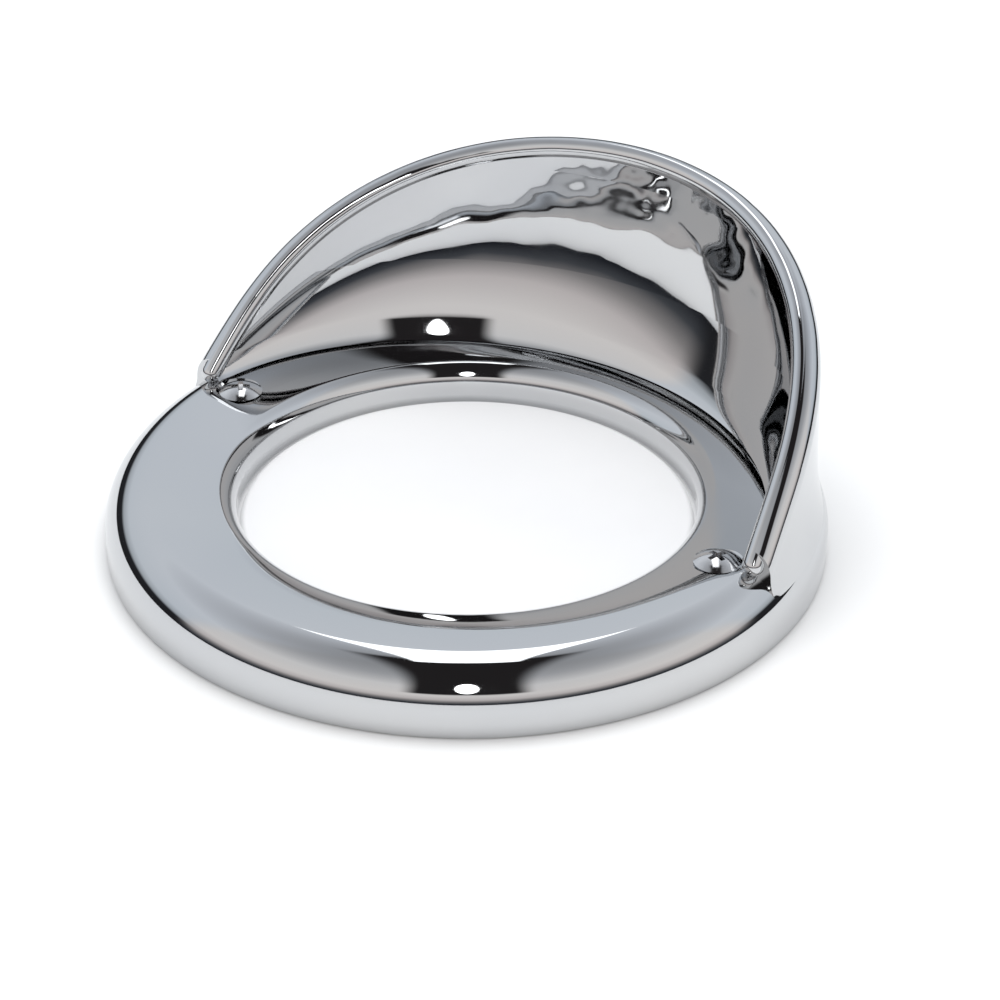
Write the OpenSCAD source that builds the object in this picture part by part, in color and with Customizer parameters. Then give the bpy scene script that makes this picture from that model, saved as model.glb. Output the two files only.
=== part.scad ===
// Round flange-mounted trailer tail light, 4 inch class, behind a hooded chrome bezel.
// Millimetres. Origin: centre of the bezel on the panel face.
// +Z points out of the panel along the light, +Y points to the middle of the hood.

/* [Bezel] */
// Outside radius of the bezel at the panel
ring_r = 75; // [60:0.5:90]
// Radius of the round window
opening_r = 47.8; // [40:0.1:54]
// Height of the top of the roll around the window
ring_h = 12.4; // [8:0.1:16]
// Radius of the roll around the window
roll_r = 5; // [3:0.1:7]
// Height of the lower edge of the window wall
window_z = 3.4; // [2:0.1:5]
// Radius of the outer shoulder
shoulder_r = 9.4; // [6:0.1:12]
// Height of the top of the outer shoulder
shoulder_h = 14; // [10:0.1:18]
// Radius of the gentle crown between roll and shoulder
crown_r = 60; // [30:1:120]
// Wall thickness of the moulding
wall = 2.4; // [1.5:0.1:3.5]

/* [Hood] */
// Height of the hood rim at its ends
hood_end_h = 18.8; // [10:0.1:30]
// Height of the hood rim half way along
hood_mid_h = 45.4; // [30:0.1:60]
// Height of the hood rim at the middle
hood_top_h = 61.6; // [40:0.1:80]
// Forward reach of the highest point of the hood
hood_reach = 66; // [55:0.5:72]
// How far the axis of the hood stands behind the axis of the ring
hood_shift = 1; // [0:0.1:4]
// Outside radius of the hood wall where it leaves the ring
hood_foot_r = 72.9; // [68:0.1:74]
// Outside radius of the hood wall above the ring
hood_low_r = 71.3; // [66:0.1:74]
// Outside radius of the hood wall half way up
hood_mid_r = 70.9; // [64:0.1:74]
// Outside radius of the hood wall near its top
hood_high_r = 69.2; // [60:0.1:74]
// Radius of the wide cove on the inner side of the hood
cove_r = 108; // [90:1:160]
// Height at which the cove has run out
cove_top = 64; // [50:1:70]
// Thickness of the bead along the rim
bead_t = 6; // [3:0.1:8]
// Height of the bead along the rim
bead_h = 5; // [3:0.1:8]

/* [Fixing screws] */
// Diameter of the circle through the two screws
screw_pcd = 120; // [110:0.5:126]
// Radius of the screw thread
screw_r = 2.1; // [1.5:0.05:3]
// Radius of the screw head
head_r = 4.7; // [3.5:0.05:6]
// Radius of the countersunk pocket at the surface
pocket_r = 5.5; // [4.5:0.05:7]
// How far each screw reaches behind the panel
screw_reach = 18; // [10:0.5:30]

/* [Lamp] */
// Radius of the lens flange held by the bezel
flange_r = 54; // [50:0.1:56]
// Radius of the lamp body that goes through the panel
body_r = 50; // [46:0.1:52]
// Depth of the lamp body behind the panel
body_depth = 24; // [18:0.5:40]
// Wall thickness of the lamp body
body_wall = 2.2; // [1.5:0.1:3]
// Height of the lens face above its flange
lens_rise = 1.5; // [0.5:0.1:4]
// Radius of the rounded edge of the lens face
lens_edge_r = 1.4; // [0.4:0.1:3]
// Thickness of the board
board_t = 1.6; // [1:0.1:2.4]
// Number of lamps in the tail ring
tail_count = 12; // [6:1:16]
// Number of lamps in the inner stop ring
stop_inner_count = 6; // [3:1:8]
// Number of lamps in the middle stop ring
stop_outer_count = 12; // [6:1:14]

/* [Socket] */
// Depth of the plug socket behind the lamp body
socket_depth = 15; // [10:0.5:25]
// Half width of the straight part of the socket
socket_half = 9.5; // [8:0.1:14]
// Radius of the rounded ends of the socket mouth
socket_end_r = 5.6; // [4:0.1:8]
// Radius of a contact pin
pin_r = 1.6; // [1:0.05:2.4]
// Distance between contact pins
pin_pitch = 8.5; // [6:0.1:12]

/* [Hidden] */
$fn = 96;
eps = 0.01;
shoulder_x = ring_r - shoulder_r;
shoulder_z = shoulder_h - shoulder_r;
roll_x = opening_r + roll_r;
roll_z = ring_h - roll_r;
// centre of the crown circle, which touches the roll and the shoulder from outside
span_x = shoulder_x - roll_x;
span_z = shoulder_z - roll_z;
span = sqrt(span_x * span_x + span_z * span_z);
to_roll = crown_r - roll_r;
to_shoulder = crown_r - shoulder_r;
along = (to_roll * to_roll - to_shoulder * to_shoulder + span * span) / (2 * span);
aside = sqrt(to_roll * to_roll - along * along);
crown_x = roll_x + (span_x * along + span_z * aside) / span;
crown_z = roll_z + (span_z * along - span_x * aside) / span;
crown_gap = 0.02;
crown_top = crown_z + crown_r;
boss_r = 5.2;
shank_r = screw_r - 0.25;
neck_r = body_r - 0.8;
seal_r = body_r - 1.3;
rib_end_r = 70.5;
post_r = 3;
hood_foot_z = 8.5;
hood_low_z = 20;
hood_mid_z = 38;
hood_high_z = 62;
hood_over_z = 80;
hood_over_r = hood_high_r - (hood_mid_r - hood_high_r) * 18 / 24;
// the side curve of the hood is the circle through three rim points
ax = 0;
az = hood_end_h;
bx = hood_reach / 2;
bz = hood_mid_h;
cx = hood_reach;
cz = hood_top_h;
arc_d = 2 * (ax * (bz - cz) + bx * (cz - az) + cx * (az - bz));
arc_y = ((ax * ax + az * az) * (bz - cz) + (bx * bx + bz * bz) * (cz - az)
       + (cx * cx + cz * cz) * (az - bz)) / arc_d;
arc_z = ((ax * ax + az * az) * (cx - bx) + (bx * bx + bz * bz) * (ax - cx)
       + (cx * cx + cz * cz) * (bx - ax)) / arc_d;
// the cove is a bowl about an axis in front of the axis of the hood, so that it fades to the sides
cove_base = 68.6;
cove_shift = 12;
arc_r = sqrt((ax - arc_y) * (ax - arc_y) + (az - arc_z) * (az - arc_z));
pocket_depth = 3.1;
pocket_top = crown_top + 0.1;
flange_top = 2.9;
flange_t = 1.7;
flange_z = flange_top - flange_t;
window_r = opening_r - 0.4;
skirt_r = body_r - body_wall - 0.2;
inner_r = body_r - body_wall;
tray_r = 45.2;
board_top = -8.2;
board_z = board_top - board_t;
tray_top = -3.1;
diffuser_t = 0.9;
led_r = 2.5;
tail_ring_r = 39.2;
stop_outer_r = 28.6;
stop_inner_r = 11.8;
post_ring_r = 20.2;
floor_t = 2.5;
floor_top = floor_t - body_depth;
potting_t = 3.5;
mouth_z = -body_depth - socket_depth;
carrier_top = floor_top + 3;
vent_y = -34;
tin = [0.62, 0.64, 0.66];

// ---------- bezel ----------

// outline of the ring in section, shrunk by t
module ring_section(t) {
    translate([roll_x, roll_z]) circle(r = roll_r - t);
    translate([shoulder_x, shoulder_z]) circle(r = shoulder_r - t);
    polygon([[opening_r + t, -1], [opening_r + t, roll_z], [roll_x, roll_z],
             [shoulder_x, shoulder_z], [ring_r - t, shoulder_z], [ring_r - t, -1]]);
    // gentle crown, the sector of its circle between the roll and the shoulder
    intersection() {
        translate([crown_x, crown_z]) circle(r = crown_r - crown_gap - t, $fn = 720);
        polygon([[crown_x, crown_z],
                 [crown_x + 3 * (roll_x - crown_x), crown_z + 3 * (roll_z - crown_z)],
                 [crown_x + 3 * (shoulder_x - crown_x), crown_z + 3 * (shoulder_z - crown_z)]]);
    }
}

module ring_solid() {
    rotate_extrude() {
        difference() {
            intersection() {
                ring_section(0);
                translate([opening_r, 0]) square([ring_r - opening_r, 40]);
            }
            // the wall of the window stops above the lens flange
            translate([opening_r - 1, -1]) square([wall + 1, window_z + 1]);
            intersection() {
                ring_section(wall);
                translate([opening_r + wall, -2]) square([ring_r - opening_r, 40]);
            }
        }
    }
}

// wall of the hood in section, in_t thick, its inner side starting at height low_z
module wall_section(in_t, low_z) {
    polygon([[hood_foot_r, hood_foot_z], [hood_low_r, hood_low_z], [hood_mid_r, hood_mid_z],
             [hood_high_r, hood_high_z], [hood_over_r, hood_over_z],
             [hood_over_r - in_t, hood_over_z], [hood_high_r - in_t, hood_high_z],
             [hood_mid_r - in_t, hood_mid_z], [hood_low_r - in_t, hood_low_z],
             [hood_low_r - in_t + 0.14 * (hood_low_z - low_z), low_z]]);
}

// everything under the side curve of the hood lowered by drop
module under_curve(drop) {
    rotate([90, 0, 90])
        translate([0, 0, -90])
            linear_extrude(height = 180)
                intersection() {
                    translate([0, 1]) square([90, 90]);
                    translate([arc_y, arc_z - drop]) circle(r = arc_r, $fn = 360);
                }
}

// the hollow that the inner side of the hood is shaped by
module cove_bowl() {
    translate([0, hood_shift - cove_shift, 0])
        rotate_extrude($fn = 180)
            polygon(concat(
                [for (z = [10 : 6 : 64])
                    [cove_base + cove_shift - cove_r + sqrt(cove_r * cove_r - pow(max(cove_top - z, 0), 2)), z]],
                [[cove_base + cove_shift, 90], [0, 90], [0, 10]]));
}

module hood_cove() {
    difference() {
        translate([0, hood_shift, 0])
            rotate_extrude($fn = 180)
                polygon([[54, 12.2], [70, 12.2], [hood_low_r - 1, hood_low_z],
                         [hood_mid_r - 1, hood_mid_z], [hood_high_r - 1, hood_high_z],
                         [54, hood_high_z]]);
        cove_bowl();
    }
}

module hood() {
    intersection() {
        hood_cove();
        under_curve(0);
    }
    intersection() {
        translate([0, hood_shift, 0]) rotate_extrude($fn = 180) wall_section(wall, 11);
        under_curve(0);
    }
    intersection() {
        translate([0, hood_shift, 0]) rotate_extrude($fn = 180) wall_section(bead_t, 13.2);
        difference() {
            under_curve(0);
            under_curve(bead_h);
        }
    }
}

module screw_places() {
    for (side = [-1, 1]) {
        translate([side * screw_pcd / 2, 0, 0]) children();
    }
}

module bezel() {
    color([0.82, 0.83, 0.85]) {
        difference() {
            union() {
                ring_solid();
                hood();
                screw_places() cylinder(r = boss_r, h = ring_h - 0.6);
                // ribs that centre the lens flange and stiffen the ring
                for (i = [0 : 7]) {
                    rotate([0, 0, 22.5 + 45 * i])
                        translate([flange_r + 0.5, -0.8, 0])
                            cube([rib_end_r - flange_r - 0.5, 1.6, ring_h - wall + 0.7]);
                }
            }
            screw_places() {
                translate([0, 0, -1]) cylinder(r = screw_r + 0.3, h = 20);
                translate([0, 0, pocket_top - pocket_depth])
                    cylinder(r1 = screw_r + 0.3, r2 = pocket_r, h = pocket_depth);
            }
        }
    }
}

// ---------- fixing screws ----------

module mounting_screws() {
    color([0.75, 0.76, 0.78]) {
        screw_places() {
            difference() {
                union() {
                    translate([0, 0, -screw_reach]) cylinder(r1 = 0.9, r2 = screw_r, h = 2.2);
                    translate([0, 0, -screw_reach + 2.2])
                        cylinder(r = screw_r, h = screw_reach - 2.2);
                    // plain shank above the thread, thinner as on a rolled screw
                    translate([0, 0, -1])
                        cylinder(r = shank_r, h = pocket_top - pocket_depth + 1.2);
                    translate([0, 0, pocket_top - pocket_depth + 0.2])
                        cylinder(r1 = shank_r, r2 = head_r, h = 2.6);
                    // raised oval top of the head
                    intersection() {
                        translate([0, 0, pocket_top - pocket_depth + 2.8 - 7.1])
                            sphere(r = 8.5);
                        translate([0, 0, pocket_top - pocket_depth + 2.8])
                            cylinder(r = head_r, h = 3);
                    }
                }
                // cross recess
                for (turn = [45, 135]) {
                    rotate([0, 0, turn])
                        translate([-2.3, -0.5, pocket_top - pocket_depth + 2.0])
                            cube([4.6, 1, 6]);
                }
            }
        }
    }
}

// ---------- lens, seals and optics ----------

module lens() {
    color([0.95, 0.95, 0.94]) {
        difference() {
            union() {
                translate([0, 0, flange_z]) cylinder(r = flange_r, h = flange_t);
                // raised face with a rounded edge
                rotate_extrude() {
                    translate([0, flange_top - 0.5])
                        square([window_r - lens_edge_r, lens_rise + 0.5]);
                    translate([0, flange_top - 0.5])
                        square([window_r, lens_rise - lens_edge_r + 0.5]);
                    translate([window_r - lens_edge_r, flange_top + lens_rise - lens_edge_r])
                        circle(r = lens_edge_r);
                }
                // skirt that locates the lens in the body
                translate([0, 0, -1.8]) cylinder(r = skirt_r, h = flange_z + 2.3);
            }
            translate([0, 0, -2]) cylinder(r = skirt_r - 1.8, h = 2 + flange_z - 0.2);
        }
    }
}

module lens_seal() {
    color([0.16, 0.16, 0.17]) {
        difference() {
            translate([0, 0, -0.7]) cylinder(r = seal_r - 0.1, h = 1.8);
            translate([0, 0, -1]) cylinder(r = skirt_r + 0.1, h = 3);
        }
    }
}

module lamp_gasket() {
    color([0.12, 0.12, 0.13]) {
        difference() {
            cylinder(r = flange_r, h = flange_z - 0.1);
            translate([0, 0, -1]) cylinder(r = body_r + 0.3, h = 4);
        }
    }
}

module diffuser() {
    color([0.97, 0.97, 0.98]) {
        translate([0, 0, tray_top + 0.1]) cylinder(r = tray_r, h = diffuser_t);
    }
}

module led_places(count, ring) {
    for (i = [0 : count - 1]) {
        rotate([0, 0, 360 * i / count]) translate([ring, 0, 0]) children();
    }
}

module all_led_places() {
    led_places(tail_count, tail_ring_r) children();
    led_places(stop_outer_count, stop_outer_r) children();
    led_places(stop_inner_count, stop_inner_r) children();
}

module post_places() {
    for (turn = [30, 150, 270]) {
        rotate([0, 0, turn]) translate([post_ring_r, 0, 0]) children();
    }
}

module reflector() {
    color([0.86, 0.87, 0.88]) {
        difference() {
            translate([0, 0, board_top + 0.1]) cylinder(r = tray_r, h = tray_top - board_top - 0.1);
            all_led_places() {
                translate([0, 0, board_top])
                    cylinder(r1 = 3.2, r2 = 4.2, h = tray_top - board_top + eps, $fn = 32);
            }
            // room for the heads of the board screws
            post_places() {
                translate([0, 0, board_top - 1]) cylinder(r = 3.1, h = 3.4, $fn = 32);
            }
        }
    }
}

// ---------- board and what it carries ----------

module circuit_board() {
    color([0.10, 0.34, 0.20]) {
        difference() {
            translate([0, 0, board_z]) cylinder(r = tray_r, h = board_t);
            post_places() {
                translate([0, 0, board_z - 1]) cylinder(r = 1.3, h = 4, $fn = 32);
            }
        }
    }
}

// one domed lamp standing on the board
module led() {
    translate([0, 0, board_top]) {
        cylinder(r = led_r + 0.4, h = 0.9, $fn = 32);
        cylinder(r = led_r, h = 2.3, $fn = 32);
        translate([0, 0, 2.3]) sphere(r = led_r, $fn = 32);
    }
}

module tail_leds() {
    color([0.78, 0.10, 0.10]) {
        led_places(tail_count, tail_ring_r) led();
    }
}

module stop_leds() {
    color([0.86, 0.16, 0.12]) {
        led_places(stop_outer_count, stop_outer_r) led();
        led_places(stop_inner_count, stop_inner_r) led();
    }
}

module resistors() {
    color([0.20, 0.32, 0.48]) {
        for (row = [0 : 5]) {
            translate([-35, -12.5 + 5 * row, board_z - 1.5])
                rotate([0, 90, 0]) cylinder(r = 1.4, h = 8, $fn = 32);
        }
    }
}

module blocking_diodes() {
    color([0.14, 0.14, 0.15]) {
        for (side = [-1, 1]) {
            translate([side * 6 - 2.7, 27, board_z - 2.5]) cube([5.4, 8.5, 2.4]);
        }
    }
}

module regulator() {
    color([0.13, 0.13, 0.14]) {
        translate([24, -16, board_z - 2.5]) cube([9.8, 8.4, 2.4]);
        translate([25, -7.6, board_z - 1.4]) cube([7.8, 2.4, 1.3]);
    }
}

module capacitor() {
    color([0.18, 0.20, 0.30]) {
        translate([28, 12, board_z - 7.6]) cylinder(r = 4, h = 7.5);
    }
}

module board_screws() {
    color([0.70, 0.70, 0.68]) {
        post_places() {
            difference() {
                union() {
                    translate([0, 0, board_top + 0.05]) cylinder(r = 2.6, h = 1.7, $fn = 32);
                    translate([0, 0, board_z - 6]) cylinder(r = 1, h = 8, $fn = 32);
                }
                translate([-2, -0.35, board_top + 1]) cube([4, 0.7, 2]);
            }
        }
    }
}

// ---------- lamp body ----------

module slot_shape(r, h) {
    translate([-socket_half, -r, 0]) cube([2 * socket_half, 2 * r, h]);
    for (side = [-1, 1]) {
        translate([side * socket_half, 0, 0]) cylinder(r = r, h = h);
    }
}

module housing() {
    color([0.10, 0.10, 0.11]) {
        difference() {
            union() {
                translate([0, 0, -body_depth]) cylinder(r = body_r, h = body_depth);
                // neck that takes the gasket
                translate([0, 0, -1]) cylinder(r = neck_r, h = flange_z + 0.9);
            }
            translate([0, 0, floor_top]) cylinder(r = inner_r, h = body_depth + 5);
            // seat for the lens seal
            translate([0, 0, -0.8]) cylinder(r = seal_r, h = 4);
            // opening for the pin carrier
            translate([0, 0, -body_depth - 1]) slot_shape(socket_end_r - 1.2, floor_t + 2);
            translate([0, vent_y, -body_depth - 1]) cylinder(r = 3, h = floor_t + 2, $fn = 48);
        }
        // posts that carry the board
        post_places() {
            difference() {
                translate([0, 0, floor_top - 1]) cylinder(r = post_r, h = board_z - floor_top + 0.9);
                translate([0, 0, floor_top + 1]) cylinder(r = 1.15, h = 20, $fn = 32);
            }
        }
    }
}

// shell round the contact pins, welded to the back of the body
module socket_shell() {
    color([0.10, 0.10, 0.11]) {
        difference() {
            union() {
                translate([0, 0, mouth_z]) slot_shape(socket_end_r + 2.2, socket_depth);
                translate([0, 0, -body_depth - 1.6]) slot_shape(socket_end_r + 4.2, 1.6);
            }
            translate([0, 0, mouth_z - 1]) slot_shape(socket_end_r, socket_depth + 2);
        }
    }
}

module pin_carrier() {
    color([0.22, 0.22, 0.23]) {
        difference() {
            union() {
                translate([0, 0, -body_depth]) slot_shape(socket_end_r - 1.3, floor_t);
                translate([0, 0, floor_top]) slot_shape(socket_end_r - 0.2, 2.95);
            }
            for (k = [-1 : 1]) {
                translate([k * pin_pitch, 0, -body_depth - 1])
                    cylinder(r = pin_r + 0.05, h = 12, $fn = 48);
            }
        }
    }
}

// a contact pin with a rounded tip and a collar inside the lamp
module contact_pin() {
    translate([0, 0, mouth_z + 5 + pin_r]) sphere(r = pin_r, $fn = 48);
    translate([0, 0, mouth_z + 5 + pin_r])
        cylinder(r = pin_r, h = carrier_top + 0.1 - mouth_z - 5 - pin_r, $fn = 48);
    translate([0, 0, carrier_top + 0.05]) cylinder(r = 2.4, h = 1.2, $fn = 48);
}

module ground_pin() {
    color(tin) translate([-pin_pitch, 0, 0]) contact_pin();
}

module tail_pin() {
    color(tin) contact_pin();
}

module stop_pin() {
    color(tin) translate([pin_pitch, 0, 0]) contact_pin();
}

// an insulated lead from the head of a pin to the back of the board
module lead(reach) {
    low = carrier_top + 1.3;
    turn = -12.8;
    translate([0, 0, low]) cylinder(r = 0.8, h = turn - low, $fn = 32);
    translate([0, 0, turn]) sphere(r = 0.8, $fn = 32);
    translate([0, 0, turn]) rotate([90, 0, 0]) cylinder(r = 0.8, h = reach, $fn = 32);
    translate([0, -reach, turn]) sphere(r = 0.8, $fn = 32);
    translate([0, -reach, turn]) cylinder(r = 0.8, h = board_z - 0.1 - turn, $fn = 32);
}

module ground_lead() {
    color([0.92, 0.92, 0.90]) translate([-pin_pitch, 0, 0]) lead(9);
}

module tail_lead() {
    color([0.38, 0.22, 0.12]) lead(12);
}

module stop_lead() {
    color([0.70, 0.12, 0.10]) translate([pin_pitch, 0, 0]) lead(9);
}

module potting() {
    color([0.20, 0.20, 0.22]) {
        difference() {
            translate([0, 0, floor_top + 0.05]) cylinder(r = inner_r - 0.05, h = potting_t);
            post_places() {
                translate([0, 0, floor_top - 1]) cylinder(r = post_r + 0.05, h = 10);
            }
            translate([0, 0, floor_top - 1]) slot_shape(socket_end_r + 0.4, 10);
            translate([0, vent_y, floor_top - 1]) cylinder(r = 3.6, h = 10, $fn = 48);
        }
    }
}

module vent_plug() {
    color([0.30, 0.31, 0.33]) {
        translate([0, vent_y, -body_depth + 0.1]) cylinder(r = 2.95, h = floor_t - 0.1, $fn = 48);
        translate([0, vent_y, floor_top]) cylinder(r = 3.5, h = 1, $fn = 48);
    }
}

bezel();
mounting_screws();
lens();
lens_seal();
lamp_gasket();
diffuser();
reflector();
circuit_board();
tail_leds();
stop_leds();
resistors();
blocking_diodes();
regulator();
capacitor();
board_screws();
housing();
socket_shell();
pin_carrier();
ground_pin();
tail_pin();
stop_pin();
ground_lead();
tail_lead();
stop_lead();
potting();
vent_plug();
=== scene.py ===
"""Looks for the hooded round trailer tail light: chrome bezel, opal lens, screws and lamp body."""

import math

import bmesh
import bpy
from mathutils import Matrix, Vector


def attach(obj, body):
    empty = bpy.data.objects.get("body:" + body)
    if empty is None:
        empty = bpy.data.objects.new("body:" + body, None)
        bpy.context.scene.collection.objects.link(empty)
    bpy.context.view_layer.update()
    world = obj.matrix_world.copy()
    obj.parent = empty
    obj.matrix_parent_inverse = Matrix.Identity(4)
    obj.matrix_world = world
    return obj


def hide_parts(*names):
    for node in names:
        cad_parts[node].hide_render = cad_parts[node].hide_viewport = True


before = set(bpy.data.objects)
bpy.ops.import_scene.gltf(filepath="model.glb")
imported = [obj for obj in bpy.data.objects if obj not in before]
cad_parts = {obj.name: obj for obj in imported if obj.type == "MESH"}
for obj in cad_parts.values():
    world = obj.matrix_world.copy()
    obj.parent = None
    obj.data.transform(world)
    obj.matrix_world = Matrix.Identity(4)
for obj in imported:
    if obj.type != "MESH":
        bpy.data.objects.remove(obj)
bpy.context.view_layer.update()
MM = 0.001

# ---------------------------------------------------------------- sizes in mm, from part.scad unless marked

# ring; a circle is the place of its centre (radius, height) and its radius
RING_R = 75.0
OPENING_R = 47.8
WALL = 2.4
WINDOW_Z = 3.4
ROLL = (52.8, 7.4, 5.0)
CROWN = (0.0, 0.0, 60.0)  # centre worked out below
SHOULDER = (65.6, 4.6, 9.4)

# hood; the wall is a list of (height, radius)
HOOD_SHIFT = 1.0
HOOD_WALL = ((8.5, 72.9), (20.0, 71.3), (38.0, 70.9), (62.0, 69.2), (86.0, 67.5))
RIM_POINTS = ((0.0, 18.8), (33.0, 45.4), (66.0, 61.6))
HOOD_END = 90.8  # only here: degrees from the middle of the hood to each end
BEAD_R = 2.2  # only here: a round bead, which is rectangular in part.scad
BEAD_INSET = 3.8  # only here: from the outside of the wall to the middle of the bead
COVE_TOP = 64.0
COVE_R = 108.0
COVE_BASE = 68.6
COVE_SHIFT = 12.0
COVE_EASE = 1.6  # only here: how softly the cove runs into the wall

# screws, bosses and ribs
SCREW_X = 60.0
SCREW_R = 2.1  # radius of the thread, kept along the shank, which is thinner in part.scad
SCREW_REACH = 18.0
HOLE_R = 2.4
POCKET_R = 5.5
POCKET_DEPTH = 3.1
HEAD_R = 4.7
HEAD_H = 2.8
BOSS_R = 5.2
BOSS_H = 11.8
RIBS = 8
RIB_IN, RIB_OUT, RIB_T, RIB_H = 54.5, 70.5, 1.6, 10.7

# lens and lamp body
FLANGE_R = 54.0
FLANGE_TOP = 2.9
FLANGE_Z = 1.2
LENS_RISE = 1.5
LENS_EDGE_R = 1.4
SKIRT_OUT, SKIRT_IN, SKIRT_Z = 47.6, 45.8, -1.8
BODY_CUT_R = 50.3  # only here: the hole in the floor for the lamp body


def crown_centre():
    """Centre of the crown circle, which touches the roll and the shoulder from outside."""
    sx, sz = SHOULDER[0] - ROLL[0], SHOULDER[1] - ROLL[1]
    span = math.hypot(sx, sz)
    a, b = CROWN[2] - ROLL[2], CROWN[2] - SHOULDER[2]
    along = (a * a - b * b + span * span) / (2 * span)
    aside = math.sqrt(a * a - along * along)
    x = ROLL[0] + (sx * along + sz * aside) / span
    z = ROLL[1] + (sz * along - sx * aside) / span
    return x, z, CROWN[2]


CROWN = crown_centre()
CROWN_TOP = CROWN[1] + CROWN[2]
POCKET_TOP = CROWN_TOP + 0.1
POCKET_FLOOR = POCKET_TOP - POCKET_DEPTH


def circle_through(points):
    """Centre and radius of the circle through three points."""
    (ax, az), (bx, bz), (cx, cz) = points
    d = 2 * (ax * (bz - cz) + bx * (cz - az) + cx * (az - bz))
    a, b, c = ax * ax + az * az, bx * bx + bz * bz, cx * cx + cz * cz
    y = (a * (bz - cz) + b * (cz - az) + c * (az - bz)) / d
    z = (a * (cx - bx) + b * (ax - cx) + c * (bx - ax)) / d
    return y, z, math.hypot(ax - y, az - z)


RIM_Y, RIM_Z, RIM_ARC = circle_through(RIM_POINTS)

# ---------------------------------------------------------------- mesh helpers


def arc(cx, cz, r, a0, a1, n):
    """Points on an arc, angles in degrees, both ends included."""
    out = []
    for i in range(n + 1):
        a = math.radians(a0 + (a1 - a0) * i / n)
        out.append((cx + r * math.cos(a), cz + r * math.sin(a)))
    return out


def line(p, q, n):
    """Points on a straight line, both ends included."""
    return [(p[0] + (q[0] - p[0]) * i / n, p[1] + (q[1] - p[1]) * i / n) for i in range(n + 1)]


def without_doubles(profile, gap=1e-4):
    """The profile without points that lie on the one before."""
    out = [profile[0]]
    for p in profile[1:]:
        if math.hypot(p[0] - out[-1][0], p[1] - out[-1][1]) > gap:
            out.append(p)
    return out


def mesh_object(name, verts, faces, sharp=35.0):
    """A mesh object from points in mm, smooth apart from its sharp edges."""
    me = bpy.data.meshes.new(name)
    me.from_pydata([(x * MM, y * MM, z * MM) for x, y, z in verts], [], faces)
    me.update()
    bm = bmesh.new()
    bm.from_mesh(me)
    bmesh.ops.remove_doubles(bm, verts=bm.verts, dist=1e-7)
    bmesh.ops.recalc_face_normals(bm, faces=bm.faces)
    for f in bm.faces:
        f.smooth = True
    bm.to_mesh(me)
    bm.free()
    me.set_sharp_from_angle(angle=math.radians(sharp))
    ob = bpy.data.objects.new(name, me)
    bpy.context.scene.collection.objects.link(ob)
    return ob


def revolve(profile, steps, x=0.0):
    """Points and faces of a closed profile of (r, z) turned about an upright axis at x."""
    verts, faces = [], []
    n = len(profile)
    for i in range(steps):
        a = 2 * math.pi * i / steps
        for r, z in profile:
            verts.append((x + r * math.cos(a), r * math.sin(a), z))
    for i in range(steps):
        j = (i + 1) % steps
        for k in range(n):
            m = (k + 1) % n
            faces.append((i * n + k, j * n + k, j * n + m, i * n + m))
    return verts, faces


def loft(rows):
    """Points and faces through rows of points. Each row is a loop, and the first and last are filled."""
    verts, faces = [], []
    n = len(rows[0])
    for row in rows:
        verts.extend(row)
    last = len(rows) - 1
    for i in range(last):
        for k in range(n):
            m = (k + 1) % n
            faces.append((i * n + k, i * n + m, (i + 1) * n + m, (i + 1) * n + k))
    faces.append(tuple(range(n)))
    faces.append(tuple(last * n + k for k in reversed(range(n))))
    return verts, faces


BOX_FACES = [(0, 3, 2, 1), (4, 5, 6, 7), (0, 1, 5, 4), (1, 2, 6, 5), (2, 3, 7, 6), (3, 0, 4, 7)]


def turned_about_z(points, turn):
    """The points turned about the axis of the ring, turn in radians."""
    c, s = math.cos(turn), math.sin(turn)
    return [(x * c - y * s, x * s + y * c, z) for x, y, z in points]


def joined(name, parts):
    """One object from several."""
    bm = bmesh.new()
    for ob in parts:
        bm.from_mesh(ob.data)
    me = bpy.data.meshes.new(name)
    bm.to_mesh(me)
    bm.free()
    for ob in parts:
        bpy.data.objects.remove(ob)
    out = bpy.data.objects.new(name, me)
    bpy.context.scene.collection.objects.link(out)
    return out


def cut(ob, cutter, sharp):
    """Take the cutter out of the object, and delete the cutter."""
    mod = ob.modifiers.new("cut", "BOOLEAN")
    mod.operation = "DIFFERENCE"
    mod.solver = "EXACT"
    mod.object = cutter
    dg = bpy.context.evaluated_depsgraph_get()
    me = bpy.data.meshes.new_from_object(ob.evaluated_get(dg))
    ob.modifiers.clear()
    ob.data = me
    for p in me.polygons:
        p.use_smooth = True
    me.set_sharp_from_angle(angle=math.radians(sharp))
    bpy.data.objects.remove(cutter)


# ---------------------------------------------------------------- bezel: ring, bosses, ribs


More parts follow.
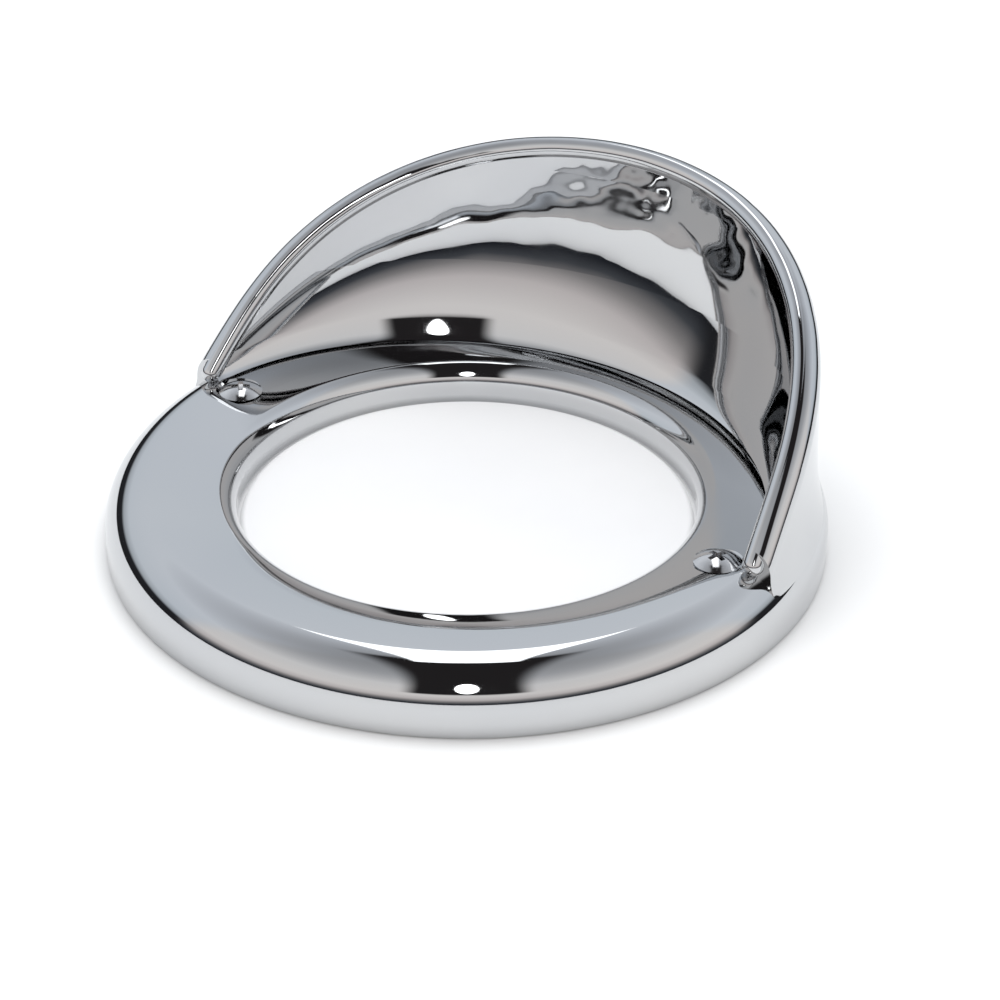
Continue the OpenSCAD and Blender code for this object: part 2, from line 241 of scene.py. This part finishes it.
def ring_profile():
    """Section of the ring, from the lower edge of the window over the top and back along the inner skin."""
    window_edge, foot_edge = 0.4, 0.3
    a_roll = math.degrees(math.atan2(ROLL[1] - CROWN[1], ROLL[0] - CROWN[0]))
    a_sh = math.degrees(math.atan2(SHOULDER[1] - CROWN[1], SHOULDER[0] - CROWN[0]))
    pts = arc(OPENING_R + window_edge, WINDOW_Z + window_edge, window_edge, 270, 180, 4)
    pts += line((OPENING_R, WINDOW_Z + window_edge), (OPENING_R, ROLL[1]), 4)
    pts += arc(*ROLL, 180, a_roll, 22)
    pts += arc(*CROWN, a_roll, a_sh, 22)
    pts += arc(*SHOULDER, a_sh, 0, 34)
    pts += line((RING_R, SHOULDER[1]), (RING_R, foot_edge), 6)
    pts += arc(RING_R - foot_edge, foot_edge, foot_edge, 0, -90, 4)
    # inner skin
    pts += [(RING_R - WALL, 0.0)]
    pts += arc(SHOULDER[0], SHOULDER[1], SHOULDER[2] - WALL, 0, a_sh, 8)
    pts += arc(CROWN[0], CROWN[1], CROWN[2] - WALL, a_sh, a_roll, 6)
    pts += arc(ROLL[0], ROLL[1], ROLL[2] - WALL, a_roll, 180, 6)
    pts += [(OPENING_R + WALL, WINDOW_Z)]
    return without_doubles(pts)


def ring_height(r):
    """Height of the ring's top surface at radius r, outside the roll."""
    edge = SHOULDER[0] + SHOULDER[2] * (SHOULDER[0] - CROWN[0]) / (CROWN[2] - SHOULDER[2])
    cx, cz, rad = CROWN if r < edge else SHOULDER
    return cz + math.sqrt(max(rad * rad - (r - cx) ** 2, 0.0))


def pocket_cutter(x):
    below, above = -2.0, 1.5
    prof = [(0.0, below), (HOLE_R, below), (HOLE_R, POCKET_FLOOR), (POCKET_R, POCKET_TOP)]
    prof += [(POCKET_R + above, POCKET_TOP + above), (0.0, POCKET_TOP + above)]
    v, f = revolve(prof, 96, x)
    return mesh_object("cutter", v, f)


def boss(x):
    chamfer = 0.2
    prof = [(HOLE_R, 0.0), (BOSS_R - chamfer, 0.0), (BOSS_R, chamfer), (BOSS_R, BOSS_H)]
    prof += [(HOLE_R + 0.9, BOSS_H), (HOLE_R, POCKET_FLOOR + 0.05)]
    v, f = revolve(prof, 64, x)
    return mesh_object("boss", v, f)


def rib(turn):
    half = RIB_T / 2
    corners = ((RIB_IN, -half), (RIB_OUT, -half), (RIB_OUT, half), (RIB_IN, half))
    pts = [(x, y, z) for z in (0.0, RIB_H) for x, y in corners]
    return mesh_object("rib", turned_about_z(pts, turn), BOX_FACES)


# ---------------------------------------------------------------- bezel: hood


def wall_r(z, inset=0.0):
    """Radius of the hood wall at height z about its own axis, with its corners eased."""

    def at(h):
        for (z0, r0), (z1, r1) in zip(HOOD_WALL, HOOD_WALL[1:]):
            if h <= z1:
                return r0 + (r1 - r0) * (h - z0) / (z1 - z0)
        return HOOD_WALL[-1][1]

    # a weighted mean over a short stretch, heaviest in its middle
    reach, side = 7.0, 6
    mean = sum(at(z + reach * k / side) * (side + 1 - abs(k)) for k in range(-side, side + 1))
    return mean / (side + 1) ** 2 - inset


def rim_at(theta):
    """Radius and height of the middle of the bead at an angle from the middle of the hood."""
    h = 40.0  # a first guess, made exact by the loop
    arc_r = RIM_ARC - BEAD_R
    for _ in range(60):
        r = wall_r(h) - BEAD_INSET
        y = HOOD_SHIFT + r * math.cos(theta)
        h = 0.5 * h + 0.5 * (RIM_Z + math.sqrt(arc_r * arc_r - (y - RIM_Y) ** 2))
    return wall_r(h) - BEAD_INSET, h


def at_angle(r, z, theta):
    """theta runs from the middle of the hood, on +Y, towards +X, about the axis of the hood."""
    return (r * math.sin(theta), HOOD_SHIFT + r * math.cos(theta), z)


def from_axis(r, theta):
    """Radius about the axis of the hood of a point that stands r from the axis of the ring."""
    return math.sqrt(r * r - (HOOD_SHIFT * math.sin(theta)) ** 2) - HOOD_SHIFT * math.cos(theta)


def from_ring(r, theta):
    """Radius about the axis of the ring of a point that stands r from the axis of the hood."""
    return math.hypot(r * math.sin(theta), HOOD_SHIFT + r * math.cos(theta))


def bezier(p0, p1, p2, n):
    """Points on a curve that leaves p0 towards p1 and arrives at p2 from it."""
    out = []
    for k in range(n + 1):
        t = k / n
        out.append(tuple(a * (1 - t) ** 2 + 2 * b * t * (1 - t) + c * t * t for a, b, c in zip(p0, p1, p2)))
    return out


def bead_rise(theta):
    """Height of the top of the bead over its middle, straight up, where the rim is steep."""
    step = 0.01
    (r0, h0), (r1, h1) = rim_at(theta - step), rim_at(theta + step)
    p, q = at_angle(r0, h0, theta - step), at_angle(r1, h1, theta + step)
    flat = math.hypot(q[0] - p[0], q[1] - p[1])
    return BEAD_R * math.hypot(1.0, (q[2] - p[2]) / flat)


def inner_r(z, theta):
    """Radius of the inner skin of the hood: the plain wall, or the bowl of the cove where it is tighter."""
    drop = max(COVE_TOP - z, 0.0)
    bowl = COVE_BASE + COVE_SHIFT - COVE_R + math.sqrt(COVE_R * COVE_R - drop * drop)
    across = COVE_SHIFT * math.sin(theta)
    cove = math.sqrt(bowl * bowl - across * across) - COVE_SHIFT * math.cos(theta)
    # the two surfaces run into each other without a crease
    plain_r = wall_r(z, WALL)
    return plain_r - COVE_EASE * math.log1p(math.exp((plain_r - cove) / COVE_EASE))


def hood_angles(steps):
    return [math.radians(-HOOD_END + 2 * HOOD_END * i / steps) for i in range(steps + 1)]


def hood_outside(theta, lip, up):
    """Outer skin of the hood in one section, which leaves the shoulder of the ring without a crease."""
    top = min(22.0, lip)
    leave = math.radians(30)
    start_r = from_axis(SHOULDER[0] + SHOULDER[2] * math.cos(leave) - 0.02, theta)
    start_z = SHOULDER[1] + SHOULDER[2] * math.sin(leave)
    bend = (wall_r(top) + 0.25, 0.55 * start_z + 0.45 * top)
    out = bezier((start_r, start_z), bend, (wall_r(top), top), 12)
    return out + [(wall_r(z), z) for z in (top + (lip - top) * k / up for k in range(1, up + 1))]


def hood_inside(theta, rim_z, up):
    """Inner skin of the hood in one section, down to a fillet that runs out on the top of the ring."""
    low, fillet_z, fillet_r = min(18.0, rim_z - 0.5), 14.2, 3.0
    out = [(inner_r(z, theta), z) for z in (rim_z + (low - rim_z) * k / up for k in range(up + 1))]
    end_r = inner_r(low, theta) - fillet_r
    end = (end_r, ring_height(from_ring(end_r, theta)) - 0.02)
    out += bezier(out[-1], (inner_r(fillet_z, theta), fillet_z), end, 14)[1:]
    # back to the start through the thickness of the ring
    return out + [(end_r, 12.0), (from_axis(70.5, theta), 10.4), (from_axis(72.3, theta), 8.0)]


def hood_wall(steps=300, up=26, turn_steps=12):
    rows = []
    for theta in hood_angles(steps):
        rim_r, rim_z = rim_at(theta)
        rise = bead_rise(theta)
        crest = rim_z + rise - 0.05
        lip = crest - 4.6 * rise / BEAD_R * 0.8
        out = hood_outside(theta, lip, up)
        # the wall turns over to the top of the bead
        edge = wall_r(lip)
        over_r = rim_r + 0.2
        for k in range(1, turn_steps + 1):
            a = math.pi / 2 * k / turn_steps
            out.append((over_r + (edge - over_r) * math.cos(a), lip + (crest - lip) * math.sin(a)))
        out += hood_inside(theta, rim_z, up)
        rows.append([at_angle(r, z, theta) for r, z in out])
    v, f = loft(rows)
    return mesh_object("hood_wall", v, f, 30)


def tube(name, path, radius, around, cap=10):
    """A round tube along a path with rounded ends."""
    pts = [Vector(p) for p in path]
    frames = []
    for i, p in enumerate(pts):
        t = (pts[min(i + 1, len(pts) - 1)] - pts[max(i - 1, 0)]).normalized()
        side = t.cross(Vector((0, 0, 1))).normalized()
        frames.append((p, t, side, side.cross(t).normalized()))

    def ring(p, side, top, r):
        turns = [2 * math.pi * k / around for k in range(around)]
        return [tuple(p + side * (r * math.cos(a)) + top * (r * math.sin(a))) for a in turns]

    def cap_ring(end, sense, a):
        p, t, side, top = end
        return ring(p + t * (sense * radius * math.sin(a)), side, top, max(radius * math.cos(a), 0.02))

    rows = [cap_ring(frames[0], -1, math.pi / 2 * (1 - k / cap)) for k in range(cap)]
    rows += [ring(p, side, top, radius) for p, t, side, top in frames]
    rows += [cap_ring(frames[-1], 1, math.pi / 2 * k / cap) for k in range(1, cap + 1)]
    v, f = loft(rows)
    return mesh_object(name, v, f, 50)


def hood_bead(steps=260):
    path = [at_angle(*rim_at(theta), theta) for theta in hood_angles(steps)]
    return tube("bead", path, BEAD_R, 32)


def make_bezel():
    v, f = revolve(ring_profile(), 384)
    ring = mesh_object("ring", v, f, 32)
    for x in (-SCREW_X, SCREW_X):
        cut(ring, pocket_cutter(x), 32)
    parts = [ring, boss(-SCREW_X), boss(SCREW_X)]
    parts += [rib(math.radians(360 / RIBS * (i + 0.5))) for i in range(RIBS)]
    parts += [hood_wall(), hood_bead()]
    return joined("bezel_shell", parts)


# ---------------------------------------------------------------- screws


def cross_slot(head_top, turn):
    """One arm of the cross recess, wider at its mouth."""
    pts = []
    for z, half_w, half_l in ((head_top - 0.9, 0.25, 1.3), (head_top + 3.0, 0.75, 2.6)):
        for sx, sy in ((-1, -1), (1, -1), (1, 1), (-1, 1)):
            pts.append((sx * half_l, sy * half_w, z))
    return mesh_object("cross", turned_about_z(pts, turn), BOX_FACES)


def screw_thread(turns=8, per=28):
    """One ridge wound round the shank, fading in and out."""
    pitch, top_z, root, ridge = 1.55, -2.4, SCREW_R - 0.6, 0.58
    rows = []
    for i in range(turns * per + 1):
        a = 2 * math.pi * i / per
        z = top_z - pitch * i / per
        crest = root + ridge * min(1.0, i / per, (turns * per - i) / per)
        c, s = math.cos(a), math.sin(a)
        section = ((root, 0.42), (crest, 0.05), (crest, -0.05), (root, -0.42))
        rows.append([(r * c, r * s, z + up) for r, up in section])
    v, f = loft(rows)
    return mesh_object("thread", v, f, 30)


def screw(x, turn):
    top = POCKET_FLOOR + HEAD_H
    shank_r, dome_r = SCREW_R - 0.45, 8.5
    prof = [(0.0, -SCREW_REACH), (0.9, -SCREW_REACH), (shank_r, -15.8), (shank_r, -2.0)]
    prof += [(SCREW_R, -1.6), (SCREW_R, top - 2.6), (HEAD_R - 0.15, top - 0.1), (HEAD_R, top)]
    prof += arc(0.0, top - 7.1, dome_r, math.degrees(math.acos((HEAD_R - 0.1) / dome_r)), 90, 14)
    v, f = revolve(without_doubles(prof), 72)
    body = mesh_object("screw", v, f, 32)
    for k in range(2):
        cut(body, cross_slot(top, turn + k * math.pi / 2), 32)
    out = joined("one_screw", [body, screw_thread()])
    out.data.transform(Matrix.Translation((x * MM, 0, 0)))
    return out


# ---------------------------------------------------------------- lens


def make_lens():
    face_r, face_z = OPENING_R - 0.4, FLANGE_TOP + LENS_RISE
    edge, corner = LENS_EDGE_R, 0.3
    flange_in = FLANGE_R - corner
    prof = line((0.0, face_z), (face_r - edge, face_z), 30)
    prof += arc(face_r - edge, face_z - edge, edge, 90, 0, 10)
    prof += [(face_r, FLANGE_TOP), (flange_in, FLANGE_TOP)]
    prof += arc(flange_in, FLANGE_TOP - corner, corner, 90, 0, 4)
    prof += arc(flange_in, FLANGE_Z + corner, corner, 0, -90, 4)
    prof += [(SKIRT_OUT, FLANGE_Z), (SKIRT_OUT, SKIRT_Z + corner), (SKIRT_OUT - corner, SKIRT_Z)]
    prof += [(SKIRT_IN + corner, SKIRT_Z), (SKIRT_IN, SKIRT_Z + corner), (SKIRT_IN, 1.0), (0.0, 1.0)]
    v, f = revolve(without_doubles(prof), 256)
    return mesh_object("lens_moulding", v, f, 30)


# ---------------------------------------------------------------- materials


def new_material(name):
    m = bpy.data.materials.new(name)
    m.use_nodes = True
    return m, m.node_tree, m.node_tree.nodes["Principled BSDF"]


def add_noise(nt, scale, detail=4.0, rough=0.55):
    tc = nt.nodes.new("ShaderNodeTexCoord")
    n = nt.nodes.new("ShaderNodeTexNoise")
    n.inputs["Scale"].default_value = scale
    n.inputs["Detail"].default_value = detail
    n.inputs["Roughness"].default_value = rough
    nt.links.new(tc.outputs["Object"], n.inputs["Vector"])
    return n


def ramp_from(nt, source, stops):
    r = nt.nodes.new("ShaderNodeValToRGB")
    e = r.color_ramp.elements
    while len(e) < len(stops):
        e.new(0.5)
    for el, (pos, col) in zip(e, stops):
        el.position = pos
        el.color = (*col, 1.0)
    nt.links.new(source, r.inputs["Fac"])
    return r


def add_bump(nt, bsdf, height, strength, distance, chain=None):
    """A bump on the surface, on top of an earlier one where there is a chain."""
    b = nt.nodes.new("ShaderNodeBump")
    b.inputs["Strength"].default_value = strength
    b.inputs["Distance"].default_value = distance
    nt.links.new(height, b.inputs["Height"])
    if chain is not None:
        nt.links.new(chain.outputs["Normal"], b.inputs["Normal"])
    nt.links.new(b.outputs["Normal"], bsdf.inputs["Normal"])
    return b


def plain(name, low, high, rough, metallic=0.0, scale=300.0, bump=0.15):
    """A moulded or metal surface: two close colours mixed by noise, uneven roughness and a fine bump."""
    m, nt, bsdf = new_material(name)
    n = add_noise(nt, scale)
    col = ramp_from(nt, n.outputs["Fac"], [(0.35, low), (0.65, high)])
    nt.links.new(col.outputs["Color"], bsdf.inputs["Base Color"])
    big = add_noise(nt, scale * 0.15, 2.0)
    smoother, rougher = (rough * 0.85,) * 3, (min(rough * 1.15, 1.0),) * 3
    rr = ramp_from(nt, big.outputs["Fac"], [(0.3, smoother), (0.7, rougher)])
    nt.links.new(rr.outputs["Color"], bsdf.inputs["Roughness"])
    bsdf.inputs["Metallic"].default_value = metallic
    add_bump(nt, bsdf, n.outputs["Fac"], bump, 0.00004)
    return m


def chrome_material():
    m, nt, bsdf = new_material("mirror_chrome")
    tint = add_noise(nt, 18.0, 2.0)
    col = ramp_from(nt, tint.outputs["Fac"], [(0.3, (0.575, 0.585, 0.60)), (0.7, (0.61, 0.615, 0.62))])
    nt.links.new(col.outputs["Color"], bsdf.inputs["Base Color"])
    haze = add_noise(nt, 60.0, 5.0)
    rr = ramp_from(nt, haze.outputs["Fac"], [(0.35, (0.02,) * 3), (0.75, (0.06,) * 3)])
    nt.links.new(rr.outputs["Color"], bsdf.inputs["Roughness"])
    bsdf.inputs["Metallic"].default_value = 1.0
    wave = add_noise(nt, 34.0, 1.0)
    broad = add_bump(nt, bsdf, wave.outputs["Fac"], 0.5, 0.00012)
    # the thin hood is wavier towards its rim, as moulded plastic is
    place = nt.nodes.new("ShaderNodeTexCoord")
    parts = nt.nodes.new("ShaderNodeSeparateXYZ")
    nt.links.new(place.outputs["Object"], parts.inputs["Vector"])
    high = nt.nodes.new("ShaderNodeMapRange")
    high.inputs["From Min"].default_value = 0.030
    high.inputs["From Max"].default_value = 0.052
    nt.links.new(parts.outputs["Z"], high.inputs["Value"])
    ripple = add_noise(nt, 62.0, 1.5)
    swell = nt.nodes.new("ShaderNodeMath")
    swell.operation = "MULTIPLY"
    nt.links.new(ripple.outputs["Fac"], swell.inputs[0])
    nt.links.new(high.outputs["Result"], swell.inputs[1])
    rippled = add_bump(nt, bsdf, swell.outputs[0], 0.9, 0.0007, broad)
    fine = add_noise(nt, 900.0, 2.0)
    add_bump(nt, bsdf, fine.outputs["Fac"], 0.05, 0.00001, rippled)
    return m


def lens_material_with_painted_glow():
    m, nt, bsdf = new_material("opal_lens_with_painted_glow")
    n = add_noise(nt, 22.0, 3.0)
    col = ramp_from(nt, n.outputs["Fac"], [(0.35, (0.575, 0.575, 0.58)), (0.7, (0.60, 0.60, 0.60))])
    nt.links.new(col.outputs["Color"], bsdf.inputs["Base Color"])
    bsdf.inputs["Roughness"].default_value = 0.42
    # painted light: a slight glow, with the grey base colour above, lights the lens evenly and fills the
    # shade that the chrome walls cast towards its edges; the lamp itself is not lit
    bsdf.inputs["Emission Color"].default_value = (0.97, 0.98, 1.0, 1.0)
    bsdf.inputs["Emission Strength"].default_value = 0.27
    bsdf.inputs["Subsurface Weight"].default_value = 0.25
    bsdf.inputs["Subsurface Radius"].default_value = (0.002, 0.002, 0.002)
    bsdf.inputs["Specular IOR Level"].default_value = 0.35
    fine = add_noise(nt, 1400.0, 2.0)
    add_bump(nt, bsdf, fine.outputs["Fac"], 0.06, 0.00002)
    return m


def assign(ob, mat):
    if not ob.material_slots:
        ob.data.materials.append(mat)
        return
    for s in ob.material_slots:
        s.material = mat


# ---------------------------------------------------------------- pieces

bezel = make_bezel()
assign(bezel, chrome_material())
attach(bezel, "root")
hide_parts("bezel")

left_turn, right_turn = math.radians(38), math.radians(70)
screws = joined("fixing_screws", [screw(-SCREW_X, left_turn), screw(SCREW_X, right_turn)])
assign(screws, plain("polished_steel", (0.60, 0.60, 0.61), (0.68, 0.68, 0.68), 0.12, 1.0, 500.0, 0.05))
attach(screws, "root")
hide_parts("mounting_screws")

lens = make_lens()
assign(lens, lens_material_with_painted_glow())
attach(lens, "root")
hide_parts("lens")

# darker colour, lighter colour and roughness of each node that keeps its CAD shape
LOOKS = {
    "lens_seal": ((0.03, 0.03, 0.032), (0.045, 0.045, 0.047), 0.7),
    "lamp_gasket": ((0.02, 0.02, 0.021), (0.035, 0.035, 0.036), 0.9),
    "diffuser": ((0.86, 0.87, 0.88), (0.92, 0.92, 0.93), 0.5),
    "reflector": ((0.78, 0.79, 0.80), (0.84, 0.85, 0.86), 0.18),
    "circuit_board": ((0.02, 0.15, 0.06), (0.03, 0.20, 0.08), 0.35),
    "tail_leds": ((0.55, 0.015, 0.012), (0.68, 0.03, 0.02), 0.08),
    "stop_leds": ((0.60, 0.02, 0.012), (0.74, 0.04, 0.02), 0.08),
    "resistors": ((0.10, 0.22, 0.42), (0.14, 0.28, 0.50), 0.3),
    "blocking_diodes": ((0.018, 0.018, 0.02), (0.03, 0.03, 0.032), 0.45),
    "regulator": ((0.018, 0.018, 0.02), (0.03, 0.03, 0.032), 0.5),
    "capacitor": ((0.03, 0.04, 0.10), (0.05, 0.06, 0.14), 0.25),
    "housing": ((0.022, 0.022, 0.024), (0.035, 0.035, 0.037), 0.55),
    "socket_shell": ((0.022, 0.022, 0.024), (0.035, 0.035, 0.037), 0.5),
    "pin_carrier": ((0.05, 0.05, 0.052), (0.07, 0.07, 0.072), 0.6),
    "ground_lead": ((0.78, 0.78, 0.76), (0.86, 0.86, 0.84), 0.4),
    "tail_lead": ((0.12, 0.05, 0.02), (0.17, 0.07, 0.03), 0.4),
    "stop_lead": ((0.45, 0.015, 0.012), (0.55, 0.025, 0.02), 0.4),
    "potting": ((0.03, 0.03, 0.035), (0.05, 0.05, 0.055), 0.25),
    "vent_plug": ((0.10, 0.10, 0.11), (0.14, 0.14, 0.15), 0.6),
}
for node, (low, high, rough) in LOOKS.items():
    assign(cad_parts[node], plain(node + "_look", low, high, rough))
for node in ("ground_pin", "tail_pin", "stop_pin"):
    tin = plain(node + "_look", (0.66, 0.65, 0.62), (0.74, 0.73, 0.70), 0.25, 1.0, 700.0, 0.05)
    assign(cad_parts[node], tin)
zinc = plain("zinc_screws", (0.60, 0.60, 0.56), (0.70, 0.69, 0.64), 0.3, 1.0, 700.0, 0.05)
assign(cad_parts["board_screws"], zinc)

# ---------------------------------------------------------------- camera

AZIMUTH = math.radians(35.0)
ELEVATION = math.radians(31.80)
DISTANCE = 8 * RING_R * MM
SENSOR = 36.0
FOCAL = 2.864  # focal length in picture widths
# how far the middle of the picture is turned off the origin, in picture widths
PAN_X, PAN_Y = -0.0328, 0.0282


def turned(v, axis, angle):
    return Matrix.Rotation(angle, 3, axis) @ v


def make_camera():
    flat = math.cos(ELEVATION)
    back = Vector((math.sin(AZIMUTH) * flat, -math.cos(AZIMUTH) * flat, math.sin(ELEVATION)))
    right = Vector((math.cos(AZIMUTH), math.sin(AZIMUTH), 0))
    up = back.cross(right)
    sideways, upwards = math.atan2(PAN_X, FOCAL), math.atan2(PAN_Y, FOCAL)
    right_1, back_1 = turned(right, up, sideways), turned(back, up, sideways)
    up_2, back_2 = turned(up, right_1, upwards), turned(back_1, right_1, upwards)
    cam = bpy.data.cameras.new("camera")
    cam.lens = FOCAL * SENSOR
    cam.sensor_width = SENSOR
    cam.clip_start, cam.clip_end = 0.01, 20
    ob = bpy.data.objects.new("camera", cam)
    m = Matrix.Identity(4)
    for i, axis in enumerate((right_1, up_2, back_2)):
        m[0][i], m[1][i], m[2][i] = axis
    m.translation = back * DISTANCE
    ob.matrix_world = m
    bpy.context.scene.collection.objects.link(ob)
    bpy.context.scene.camera = ob


make_camera()

# ---------------------------------------------------------------- floor, open where the light goes in

FLOOR_RADII = (BODY_CUT_R, 56.0, 64.0, 76.0, 200.0, 800.0, 3000.0)
SCREW_BAND = 1  # the band of the floor between 56 and 64 mm, which the screws pass through
SCREW_GAP = 3.5  # degrees to each side of a screw


def floor_mesh(steps=128):
    verts, faces = [], []
    for r in FLOOR_RADII:
        for i in range(steps):
            a = 2 * math.pi * i / steps
            verts.append((r * math.cos(a) * MM, r * math.sin(a) * MM, 0.0))
    for k in range(len(FLOOR_RADII) - 1):
        for i in range(steps):
            j = (i + 1) % steps
            mid = 360 * (i + 0.5) / steps
            off_screw = min(mid % 180, 180 - mid % 180)
            if k == SCREW_BAND and off_screw < SCREW_GAP:
                continue
            faces.append((k * steps + i, (k + 1) * steps + i, (k + 1) * steps + j, k * steps + j))
    me = bpy.data.meshes.new("floor")
    me.from_pydata(verts, [], faces)
    me.update()
    return me


def floor_material():
    """Matt and pale from above, clear from below."""
    m, nt, bsdf = new_material("pale_floor")
    bsdf.inputs["Base Color"].default_value = (0.86, 0.86, 0.855, 1)
    bsdf.inputs["Roughness"].default_value = 0.6
    geo = nt.nodes.new("ShaderNodeNewGeometry")
    clear = nt.nodes.new("ShaderNodeBsdfTransparent")
    mix = nt.nodes.new("ShaderNodeMixShader")
    nt.links.new(geo.outputs["Backfacing"], mix.inputs["Fac"])
    nt.links.new(bsdf.outputs["BSDF"], mix.inputs[1])
    nt.links.new(clear.outputs["BSDF"], mix.inputs[2])
    nt.links.new(mix.outputs["Shader"], nt.nodes["Material Output"].inputs["Surface"])
    return m


floor = bpy.data.objects.new("floor", floor_mesh())
bpy.context.scene.collection.objects.link(floor)
floor.data.materials.append(floor_material())

# ---------------------------------------------------------------- light

# The chrome shows the room round it, so the room is a function of direction in the camera's frame:
# X to its right, Y away from it, Z up.
world = bpy.data.worlds.new("studio")
bpy.context.scene.world = world
world.use_nodes = True
wt = world.node_tree
bg = wt.nodes["Background"]
tc = wt.nodes.new("ShaderNodeTexCoord")
mp = wt.nodes.new("ShaderNodeMapping")
mp.inputs["Rotation"].default_value = (0, 0, -AZIMUTH)
wt.links.new(tc.outputs["Generated"], mp.inputs["Vector"])
sep = wt.nodes.new("ShaderNodeSeparateXYZ")
wt.links.new(mp.outputs["Vector"], sep.inputs["Vector"])


def calc(op, first, second=0.0, third=None):
    """One maths node of the world; every argument is a socket or a number."""
    n = wt.nodes.new("ShaderNodeMath")
    n.operation = op
    for k, value in enumerate((first, second, third)):
        if value is None:
            continue
        if isinstance(value, (int, float)):
            n.inputs[k].default_value = value
        else:
            wt.links.new(value, n.inputs[k])
    return n.outputs[0]


def soft_step(value, edge, width):
    """0 below the edge, 1 above it."""
    n = wt.nodes.new("ShaderNodeMapRange")
    n.interpolation_type = "SMOOTHSTEP"
    n.inputs["From Min"].default_value = edge - width / 2
    n.inputs["From Max"].default_value = edge + width / 2
    wt.links.new(value, n.inputs["Value"])
    return n.outputs["Result"]


def below(value, edge, width):
    """1 below the edge, 0 above it."""
    return soft_step(calc("MULTIPLY", value, -1.0), -edge, width)


def blend(mask, under, over):
    """Colour under the mask where it is 0, over it where it is 1."""
    n = wt.nodes.new("ShaderNodeMix")
    n.data_type = "RGBA"
    wt.links.new(mask, n.inputs[0])
    for socket, value in ((n.inputs[6], under), (n.inputs[7], over)):
        if isinstance(value, tuple):
            socket.default_value = (*value, 1.0)
        else:
            wt.links.new(value, socket)
    return n.outputs[2]


def both(*masks):
    """1 where every mask is 1."""
    out = masks[0]
    for m in masks[1:]:
        out = calc("MULTIPLY", out, m)
    return out


X, Y, Z = sep.outputs["X"], sep.outputs["Y"], sep.outputs["Z"]
wide = calc("ABSOLUTE", X)
# behind the object: a pale wall over a dark strip at the horizon
far_wall = ramp_from(wt, Z, [
    (0.0, (0.02, 0.02, 0.022)), (0.16, (0.025, 0.026, 0.03)), (0.22, (0.50, 0.54, 0.58)),
    (0.34, (0.74, 0.79, 0.85)), (0.62, (0.80, 0.84, 0.90)), (0.80, (0.62, 0.65, 0.70)),
    (1.0, (0.34, 0.35, 0.37)),
])
# behind the camera: a pale, slightly pink room over a thinner dark strip
near_room = ramp_from(wt, Z, [
    (0.0, (0.02, 0.022, 0.028)), (0.06, (0.07, 0.075, 0.085)), (0.13, (0.30, 0.285, 0.285)),
    (0.21, (0.72, 0.67, 0.66)), (0.34, (0.92, 0.88, 0.86)), (0.62, (0.86, 0.85, 0.85)),
    (0.85, (0.50, 0.51, 0.53)), (1.0, (0.34, 0.35, 0.37)),
])
room = blend(soft_step(Y, 0.0, 0.2), near_room.outputs["Color"], far_wall.outputs["Color"])
# the photographer and the dark end of the room, up to overhead, narrower higher up
half_width = calc("MULTIPLY_ADD", Z, -0.12, 0.33)
shade = both(soft_step(calc("SUBTRACT", half_width, wide), 0.0, 0.10),
             below(Y, 0.30, 0.10), soft_step(Z, 0.40, 0.05))
room = blend(shade, room, (0.022, 0.020, 0.021))
# a tall narrow window high behind the object
window = both(soft_step(calc("SUBTRACT", 0.11, wide), 0.0, 0.01), soft_step(Y, 0.18, 0.02),
              soft_step(Z, 0.665, 0.01), below(Z, 0.982, 0.004))
room = blend(window, room, (2.2, 2.25, 2.3))
# the flash at the camera, an upright oval
across = calc("POWER", calc("DIVIDE", X, 0.055), 2.0)
upright = calc("POWER", calc("DIVIDE", calc("SUBTRACT", Z, 0.60), 0.15), 2.0)
from_middle = calc("SQRT", calc("ADD", across, upright))
flash = both(soft_step(calc("SUBTRACT", 1.0, from_middle), 0.0, 0.1), below(Y, -0.1, 0.02))
room = blend(flash, room, (5.0, 5.0, 5.0))
# the picture's own background is white
rays = wt.nodes.new("ShaderNodeLightPath")
seen = blend(rays.outputs["Is Camera Ray"], room, (0.97, 0.97, 0.97))
wt.links.new(seen, bg.inputs["Color"])
bg.inputs["Strength"].default_value = 1.0


def soft_box(name, place, width, depth, power, colour):
    """A lamp aimed at the origin and not seen in the chrome. place is in the camera's frame, in metres."""
    data = bpy.data.lights.new(name, "AREA")
    data.energy = power
    data.color = colour
    data.shape = "RECTANGLE"
    data.size, data.size_y = width, depth
    ob = bpy.data.objects.new(name, data)
    ob.location = Matrix.Rotation(AZIMUTH, 3, "Z") @ Vector(place)
    ob.rotation_mode = "QUATERNION"
    ob.rotation_quaternion = (-ob.location).to_track_quat("-Z", "Y")
    ob.visible_glossy = False
    bpy.context.scene.collection.objects.link(ob)


soft_box("top_softbox", (0.0, 0.3, 1.7), 1.6, 1.2, 26, (0.98, 0.99, 1.0))

view = bpy.context.scene.view_settings
view.view_transform = "Standard"
view.look = "None"
view.exposure = 0.0
